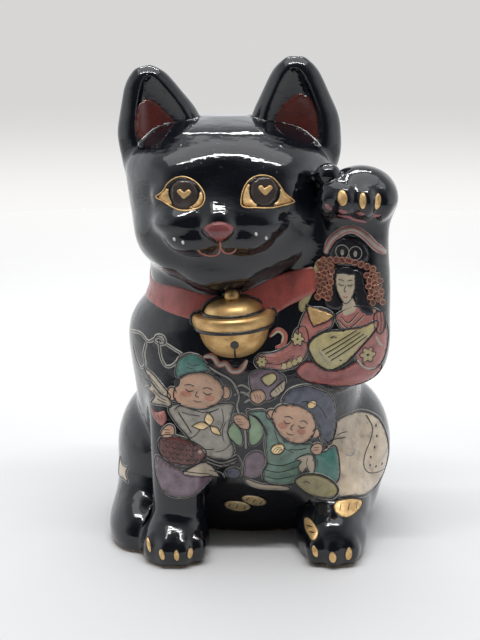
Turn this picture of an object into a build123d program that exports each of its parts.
from build123d import *
import os

# A seated beckoning cat, hollow slip-cast ceramic with gilding and raised enamel painting.
# Millimetres, +Z up. The origin is the middle of the footprint on the surface that the cat
# stands on. The face looks toward -Y. Left and right in the names are the cat's own, so the
# raised left foreleg is on the +X side.

# ---- driving dimensions ----
WALL = 4.5              # cast wall of the body and the head
ENAMEL = 0.5            # how far enamel and gilding stand proud of the glaze
FLOOR_UNDERSIDE = 3.0   # the floor is recessed above the foot rim by this much
FLOOR_THICKNESS = 5.0
FOOT_RIM_WIDTH = 4.0
NECK_HEIGHT = 106.0     # the luted seam between torso and head
NECK_BORE_RADIUS = 13.0
REACH = 200.0           # longer than the figure, for cutting blocks
# The forms below are placed about the moulds' parting axis. The finished figure is moved by
# this much, so that its origin is the middle of its footprint.
MOULD_AXIS = (1.5, 1.0)

STOPPER_HOLE_RADIUS = 15.0
STOPPER_CLEARANCE = 0.05
STOPPER_FLANGE_RADIUS = 17.5
STOPPER_FLANGE_THICKNESS = 1.6
STOPPER_DEPTH = 9.0     # how far the plug reaches up past the floor's underside
STOPPER_BAR = (3.0, 14.0)

COIN_SLOT = (34.0, 3.6)     # length and width, for coins up to about 30 x 2.5
COIN_SLOT_HEIGHT = 82.0

# height, centre x, centre y, half width, half depth of the torso's rings
TORSO_RINGS = [
    (0, 1, 10, 46, 33),
    (12, 1, 7, 49, 36),
    (35, 1, 3, 48, 39.5),
    (58, 1, 0, 45, 41),
    (76, 0, -1, 44.5, 38.5),
    (90, -3, -2, 40.5, 35),
    (99, -5, -3, 34.5, 31),
    (NECK_HEIGHT, -6, -4, 31.5, 28),
]

# centre and half sizes of the rounded forms
MUZZLE = ((-10, -37, 119), (17, 12.5, 9))
HEAD_HOLLOW = ((-7, -5, 131), (32.5, 29, 22))
EAR_RECESS_RADII = (9.5, 5.5, 13.5)
LEFT_HAUNCH = ((37, 6, 27), (20.5, 31, 29))
RIGHT_HAUNCH = ((-34, 8, 24), (20.5, 30, 28))
LEFT_HIND_FOOT = ((31, -33, 7.5), (12.5, 17.5, 12.5))
RIGHT_HIND_FOOT = ((-45, -16, 9), (9.5, 19, 12.5))
STANDING_PAW = ((-26.5, -35.5, 6), (11.5, 14.5, 10.5))
TAIL = ((20, 44, 26), (9, 9, 20))

# depth of the mid plane of the raised leg and of the two front paws
RAISED_LEG_MIDDLE = -25.0
PAW_MIDDLE = -36.0

# height, centre x, centre y and radius up the two forelegs
STANDING_LEG_RINGS = [
    (0.5, -26, -31, 9.5),
    (20, -25.5, -32, 9.5),
    (45, -25, -30, 11),
    (72, -24, -24, 12),
]
RAISED_LEG_RINGS = [
    (63.5, 36, -24, 5),
    (68, 36.5, -24.5, 11.5),
    (78, 37, -25, 14.5),
    (96, 38, -24, 13.2),
    (114, 38, -24, 12.3),
    (124, 39, -26, 13.0),
    (134, 40, -27, 13.0),
    (140.5, 40, -27, 9.5),
    (143.8, 40, -27, 4),
]

# height, centre x, centre y, half width, half depth of the head's rings, chin to crown
HEAD_RINGS = [
    (98.5, -7, -9, 12, 11),
    (101, -7, -9, 24, 23),
    (107, -7, -9, 31, 30),
    (115, -7, -8, 34.5, 34),
    (124, -7, -7, 37, 36),
    (134, -7, -6, 38.8, 36),
    (143, -7, -5, 38.8, 34.5),
    (150, -7, -4, 34.8, 30.5),
    (155.5, -7, -3, 27, 23.5),
    (158.8, -7, -3, 17, 15),
    (160, -7, -3, 7.5, 7),
]

# bell in relief on the chest: middle, then ring sizes
BELL_MIDDLE = (-5.3, -34.0, 88.8)
BELL_BOWL_RADIUS = 12.3
BELL_RIM_RADIUS = 15.0
BELL_RIM_THICKNESS = 4.2
BELL_DOME_RADII = (11.5, 9.5, 6.5)
BELL_KNOB_RADIUS = 2.6
BELL_KNOB_LIFT = 6.6

# small marks as x and height seen from the front
WHISKER_DOTS = [(-25.3, 120.7), (-22.4, 119.7), (2.4, 122.6), (5.8, 120.9)]
RAISED_CLAWS = [(31.8, 134.9), (38.5, 133.8), (44.4, 133.2)]
RAISED_PADS = [(30.5, 129.5), (34.6, 128.6), (39.0, 128.2), (43.4, 128.4)]
FRONT_CLAWS = [(-34.6, 7.6), (-30.6, 6.6), (-26.0, 6.2), (-21.4, 6.6)]
HIND_CLAWS = [(24.4, 7.0), (30.1, 6.0), (36.0, 6.4)]
CHEST_COINS = [(-5.2, 15.6), (1.8, 20.6)]
TOE_COIN = (23.2, 13.0)
HAUNCH_COIN = (36.5, 16.8)

# outlines of the raised enamel pictures as x and height seen from the front
SEATED_FIGURE = [
    (-24.9, 79), (-17.5, 79.5), (-9.6, 73), (-8, 62), (-6, 54), (-2, 44),
    (-1, 34.5), (-12, 30), (-28, 36), (-34.5, 47.5), (-32.3, 60), (-27.8, 72),
]
RECLINING_FIGURE = [
    (12.9, 66.5), (24, 65.5), (29.5, 56), (28.8, 47), (29.4, 37), (18.7, 33.5),
    (12, 28), (4, 31), (1, 43), (-3, 56), (3.5, 60),
]
SACK = [(31.5, 55.5), (40.5, 56.6), (50.3, 47), (50.4, 31), (38, 21.5), (31.5, 24), (31, 36), (31, 46)]
POUCH = [(16.4, 31), (23, 33), (28.8, 30), (29.2, 24.6), (20.9, 23)]
LUTE_FIGURE = [
    (28.5, 113), (34, 118), (46.5, 118), (49, 98), (49.4, 84), (46.5, 71), (33, 67.5),
    (26.5, 74), (27, 92),
]
SLEEVE = [(1.2, 77.5), (14, 82.5), (24.6, 82), (23, 75), (10, 72.5)]
MALLET_HAND = [(0.4, 68.2), (4.7, 71), (12, 70.6), (9.8, 65.2), (3.3, 62.6)]
CORD_BOW = [(-42, 85), (-36, 82.4), (-31, 83.4), (-26.5, 80.6)]
CORD_WIDTH = 1.6

EYE_CENTRES = {"right": (-23.3, 135.0), "left": (6.0, 135.5)}
EYE_HALF_WIDTH = 9.0
EYE_HALF_HEIGHT = 5.8
IRIS_RADIUS = 5.0
PUPIL_SIZE = 2.0


def ellipsoid(form, grow=0.0):
    """A rounded form from its centre and half sizes, swollen by grow."""
    centre, radii = form
    base_radius = 10.0
    factors = tuple((radius + grow) / base_radius for radius in radii)
    return Pos(*centre) * scale(Sphere(base_radius), by=factors)


def above_floor(shape):
    """Cut away what would reach below the standing surface."""
    return shape - Pos(0, 0, -REACH / 2) * Box(REACH, REACH, REACH)


def oval_loft(rings, grow=0.0):
    """A smooth body through level oval rings."""
    ovals = []
    for height, x, y, half_width, half_depth in rings:
        ovals.append(Pos(x, y, height) * Ellipse(half_width + grow, half_depth + grow))
    return loft(ovals)


def torso_form(grow=0.0):
    return oval_loft(TORSO_RINGS, grow)


def leg_form(rings, grow=0.0):
    discs = [Pos(x, y, height) * Circle(radius + grow) for height, x, y, radius in rings]
    return loft(discs)


def skull_form(grow=0.0):
    return oval_loft(HEAD_RINGS, grow)


def muzzle_form(grow=0.0):
    return ellipsoid(MUZZLE, grow)


def head_form(grow=0.0):
    return skull_form(grow) + muzzle_form(grow)


def standing_leg_form(grow=0.0):
    return above_floor(leg_form(STANDING_LEG_RINGS, grow) + ellipsoid(STANDING_PAW, grow))


def raised_leg_form(grow=0.0):
    return leg_form(RAISED_LEG_RINGS, grow)


def left_haunch_form(grow=0.0):
    return above_floor(ellipsoid(LEFT_HAUNCH, grow))


def right_haunch_form(grow=0.0):
    return above_floor(ellipsoid(RIGHT_HAUNCH, grow))


def left_foot_form(grow=0.0):
    return above_floor(ellipsoid(LEFT_HIND_FOOT, grow))


def right_foot_form(grow=0.0):
    return above_floor(ellipsoid(RIGHT_HIND_FOOT, grow))


def make_torso():
    """Hollow body: foot rim, recessed floor with the round hole, open neck, coin slot."""
    hollow = oval_loft(TORSO_RINGS, -WALL)
    floor_top = FLOOR_UNDERSIDE + FLOOR_THICKNESS
    hollow = hollow - Pos(0, 0, floor_top - REACH / 2) * Box(REACH, REACH, REACH)
    _, x, y, half_width, half_depth = TORSO_RINGS[0]
    recess = Ellipse(half_width - FOOT_RIM_WIDTH, half_depth - FOOT_RIM_WIDTH)
    recess = extrude(Pos(x, y, 0) * recess, FLOOR_UNDERSIDE)
    hole = Pos(x, y, 0) * Cylinder(STOPPER_HOLE_RADIUS, 4 * floor_top)
    slot_length, slot_width = COIN_SLOT
    slot = Box(slot_length, REACH / 4, slot_width)
    slot = Pos(0, REACH / 8 + WALL, COIN_SLOT_HEIGHT) * slot
    return torso_form() - hollow - recess - hole - slot


def make_head(torso_outer):
    """Hollow head that sits over the neck, with the bore that drained the casting slip."""
    bore = Pos(-5, -3, NECK_HEIGHT) * Cylinder(NECK_BORE_RADIUS, 30)
    head = head_form() - torso_outer - ellipsoid(HEAD_HOLLOW)
    return head - bore


def ear_blank(lean):
    """A solid ear in its own frame, base at z = 0, leaning outward by lean degrees."""
    rings = [
        (-14, 11, 7),
        (0, 15.5, 9),
        (12, 13.5, 8),
        (23, 8.2, 6),
        (30, 3.6, 3.4),
    ]
    sections = [Pos(0, 0, height) * Ellipse(wide, deep) for height, wide, deep in rings]
    tip_height, _, tip_radius = rings[-1]
    tip = Pos(0, 0, tip_height) * Sphere(tip_radius)
    return Rot(0, lean, 0) * (loft(sections) + tip)


def ear_recess(lean, shrink=0.0):
    recess = ellipsoid(((0, -8.0, 14), EAR_RECESS_RADII), -shrink)
    return Rot(0, lean, 0) * recess


def place_ear(shape, side):
    places = {"left": (18.5, 0, 147), "right": (-33, -1, 144)}
    return Pos(*places[side]) * shape


def make_ear(side, lean, head_outer):
    ear = place_ear(ear_blank(lean), side) - head_outer
    return ear - place_ear(ear_recess(lean), side)


def make_ear_lining(side, lean, head_outer):
    """Red enamel on the back wall of the ear's hollow."""
    skin = ear_recess(lean) - ear_recess(lean, shrink=ENAMEL)
    patch = Pos(0, -8.0, 13) * Rot(90, 0, 0) * Cylinder(7.5, 12)
    patch = Rot(0, lean, 0) * patch
    lining = place_ear(skin & patch, side) & place_ear(ear_blank(lean), side)
    return lining - head_outer


def outline_face(points):
    """A closed smooth outline in the upright plane, seen from the front."""
    return make_face(Spline(*points, periodic=True))


def inlay(forms, face, behind=0.0):
    """The enamel skin over the given body forms, inside an outline seen from the front.

    Only the skin nearer to the front than the depth called behind is kept.
    """
    prism = Pos(0, behind, 0) * extrude(Plane.XZ * face, REACH / 2)
    skin = None
    for form in forms:
        piece = form(ENAMEL) & prism
        skin = piece if skin is None else skin + piece
    for form in forms:
        skin = skin - form()
    return skin


def eye_outline():
    """An almond with a rounded inner end and a drawn-out outer corner."""
    return [
        (-1.0 * EYE_HALF_WIDTH, -0.30 * EYE_HALF_HEIGHT),
        (-0.55 * EYE_HALF_WIDTH, 0.55 * EYE_HALF_HEIGHT),
        (0.15 * EYE_HALF_WIDTH, 1.0 * EYE_HALF_HEIGHT),
        (0.80 * EYE_HALF_WIDTH, 0.45 * EYE_HALF_HEIGHT),
        (0.95 * EYE_HALF_WIDTH, -0.55 * EYE_HALF_HEIGHT),
        (0.20 * EYE_HALF_WIDTH, -0.95 * EYE_HALF_HEIGHT),
    ]


def make_eye(side):
    """Gold field, dark iris disc and gold pupil, laid side by side on the face."""
    x, z = EYE_CENTRES[side]
    mirror = 1 if side == "right" else -1
    almond = outline_face([(x + mirror * dx, z + dz) for dx, dz in eye_outline()])
    iris = Pos(x + mirror, z) * Circle(IRIS_RADIUS)
    lobes = [Pos(x + mirror + offset, z + 0.8) * Circle(0.55 * PUPIL_SIZE) for offset in (-1, 1)]
    point = Pos(x + mirror, z - 0.4) * Rot(0, 0, 45) * Rectangle(PUPIL_SIZE, PUPIL_SIZE)
    pupil = lobes[0] + lobes[1] + point
    face_form = [head_form]
    return {
        side + "_eye_gold": inlay(face_form, almond - iris),
        side + "_iris": inlay(face_form, iris - pupil),
        side + "_pupil": inlay(face_form, pupil),
    }


def small_ovals(places, half_sizes, turn=0.0):
    """The same small oval outline at each of the given places."""
    half_width, half_height = half_sizes
    ovals = Sketch()
    for x, z in places:
        ovals += Pos(x, z) * Rot(0, 0, turn) * Ellipse(half_width, half_height)
    return ovals


def make_mouth():
    """A thin red line of two curves that meet under the nose."""
    left_curve = Spline((-17.6, 119.4), (-15.2, 115.8), (-12.0, 115.9), (-10.6, 119.2))
    right_curve = Spline((-10.6, 119.2), (-8.6, 116.2), (-5.8, 115.9), (-4.4, 118.4))
    line = trace([left_curve, right_curve], line_width=0.8)
    return inlay([head_form], line - nose_outline())


def nose_outline():
    corners = [
        (-15.6, 126.4),
        (-10.6, 127.2),
        (-5.4, 126.2),
        (-8.2, 122.8),
        (-10.6, 120.8),
        (-13.2, 123.0),
    ]
    return outline_face(corners)


def make_collar(torso_outer_grown, torso_outer, head_outer):
    """A flat band around the neck that dips toward the bell in front."""
    slab = Pos(0, 0, 98.5) * Rot(9, 0, 0) * Box(REACH, REACH, 12)
    return (torso_outer_grown & slab) - torso_outer - head_outer


def make_bell(torso_outer, head_outer, collar):
    """Bowl, rim, dome and knob, each cut where it meets the chest and its neighbour."""
    x, y, z = BELL_MIDDLE
    bowl = Pos(x, y, z) * Sphere(BELL_BOWL_RADIUS)
    bowl = bowl & Pos(x, y, z - REACH / 2) * Box(REACH, REACH, REACH)
    rim = Pos(x, y, z + BELL_RIM_THICKNESS / 2) * Cylinder(BELL_RIM_RADIUS, BELL_RIM_THICKNESS)
    rim = fillet(rim.edges().filter_by(GeomType.CIRCLE), BELL_RIM_THICKNESS * 0.45)
    dome_base = z + BELL_RIM_THICKNESS
    dome = ellipsoid(((x, y, dome_base), BELL_DOME_RADII))
    dome = dome & Pos(x, y, dome_base + REACH / 2) * Box(REACH, REACH, REACH)
    knob = Pos(x, y - 3.5, dome_base + BELL_KNOB_LIFT) * Sphere(BELL_KNOB_RADIUS)
    pieces = {"bell_bowl": bowl, "bell_rim": rim, "bell_dome": dome, "bell_knob": knob - dome}
    for name in pieces:
        pieces[name] = pieces[name] - torso_outer - head_outer - collar
    return pieces


def make_stopper():
    """Rubber plug: flange under the floor, plug through the hole, finger bar in its recess."""
    _, x, y, _, _ = TORSO_RINGS[0]
    plug_radius = STOPPER_HOLE_RADIUS - STOPPER_CLEARANCE
    flange_bottom = FLOOR_UNDERSIDE - STOPPER_FLANGE_THICKNESS
    on_base = (Align.CENTER, Align.CENTER, Align.MIN)
    flange = Cylinder(STOPPER_FLANGE_RADIUS, STOPPER_FLANGE_THICKNESS, align=on_base)
    flange = Pos(x, y, flange_bottom) * flange
    plug = Cylinder(plug_radius, STOPPER_DEPTH, align=(Align.CENTER, Align.CENTER, Align.MIN))
    plug = Pos(x, y, FLOOR_UNDERSIDE) * plug
    top_edge = plug.edges().filter_by(GeomType.CIRCLE).sort_by(Axis.Z)[-1]
    plug = chamfer(top_edge, 1.0)
    finger_recess = Pos(x, y, flange_bottom) * Cylinder(STOPPER_HOLE_RADIUS - 4, 9)
    bar_width, bar_length = STOPPER_BAR
    bar = Pos(x, y, flange_bottom + 2.25) * Box(2 * bar_length - 6, bar_width, 4.5)
    return flange + plug - (finger_recess - bar)


# ---- the castings ----
torso_outer = torso_form()
head_outer = head_form()
raised_leg = raised_leg_form()
standing_leg = standing_leg_form()
left_haunch = left_haunch_form()
right_haunch = right_haunch_form()
left_foot = left_foot_form()

parts = {}
parts["torso_casting"] = make_torso()
parts["head_casting"] = make_head(torso_outer)
parts["left_ear"] = make_ear("left", 3, head_outer)
parts["right_ear"] = make_ear("right", -9, head_outer)
parts["left_foreleg_raised"] = raised_leg - torso_outer - head_outer
parts["right_foreleg_standing"] = standing_leg - torso_outer
parts["left_haunch"] = left_haunch - torso_outer
parts["right_haunch"] = right_haunch - torso_outer - standing_leg
parts["left_hind_foot"] = left_foot - torso_outer - left_haunch
parts["right_hind_foot"] = right_foot_form() - torso_outer - right_haunch - standing_leg
parts["tail"] = above_floor(ellipsoid(TAIL)) - torso_outer - left_haunch
parts["base_stopper"] = make_stopper()

# ---- collar and bell ----
collar_and_torso = torso_form(ENAMEL)
parts["collar_band"] = make_collar(collar_and_torso, torso_outer, head_outer) - raised_leg
parts.update(make_bell(torso_outer, head_outer, collar_and_torso))

# ---- face and ears ----
for side in ("left", "right"):
    parts.update(make_eye(side))
parts["left_ear_lining"] = make_ear_lining("left", 3, head_outer)
parts["right_ear_lining"] = make_ear_lining("right", -9, head_outer)
parts["nose_enamel"] = inlay([head_form], nose_outline())
parts["mouth_line"] = make_mouth()
parts["whisker_dots"] = inlay([head_form], small_ovals(WHISKER_DOTS, (0.8, 0.7)))

# ---- claws, pads and coins ----
raised = [raised_leg_form]
standing = [standing_leg_form]
hind = [left_foot_form]
parts["raised_paw_claws"] = inlay(raised, small_ovals(RAISED_CLAWS, (1.5, 2.8)), RAISED_LEG_MIDDLE)
parts["raised_paw_pads"] = inlay(raised, small_ovals(RAISED_PADS, (1.9, 1.4)), RAISED_LEG_MIDDLE)
parts["front_paw_claws"] = inlay(standing, small_ovals(FRONT_CLAWS, (1.0, 2.2)), PAW_MIDDLE)
parts["hind_paw_claws"] = inlay(hind, small_ovals(HIND_CLAWS, (1.1, 2.2)), PAW_MIDDLE)
parts["chest_coins"] = inlay([torso_form], small_ovals(CHEST_COINS, (4.6, 2.3), -12))
parts["toe_coin"] = inlay(hind, small_ovals([TOE_COIN], (2.2, 3.2), 25), PAW_MIDDLE)
parts["haunch_coin"] = inlay(hind, small_ovals([HAUNCH_COIN], (4.6, 1.8), 8), PAW_MIDDLE)

# ---- raised enamel pictures ----
parts["panel_seated_figure"] = inlay([torso_form, standing_leg_form], outline_face(SEATED_FIGURE))
parts["panel_reclining_figure"] = inlay([torso_form], outline_face(RECLINING_FIGURE))
parts["panel_sack"] = inlay([torso_form, left_haunch_form], outline_face(SACK))
parts["panel_pouch"] = inlay([torso_form], outline_face(POUCH))
parts["panel_lute_figure"] = inlay(raised, outline_face(LUTE_FIGURE), RAISED_LEG_MIDDLE)
parts["panel_lute_figure"] -= collar_and_torso
parts["panel_sleeve"] = inlay([torso_form], outline_face(SLEEVE)) - raised_leg
parts["panel_mallet_hand"] = inlay([torso_form], outline_face(MALLET_HAND))
parts["cord_bow"] = inlay([torso_form], trace(Spline(*CORD_BOW), line_width=CORD_WIDTH))

os.makedirs("parts", exist_ok=True)
to_origin = Pos(-MOULD_AXIS[0], -MOULD_AXIS[1], 0)
for name, shape in parts.items():
    placed = to_origin * shape
    placed.label = name
    export_step(placed, os.path.join("parts", name + ".step"))
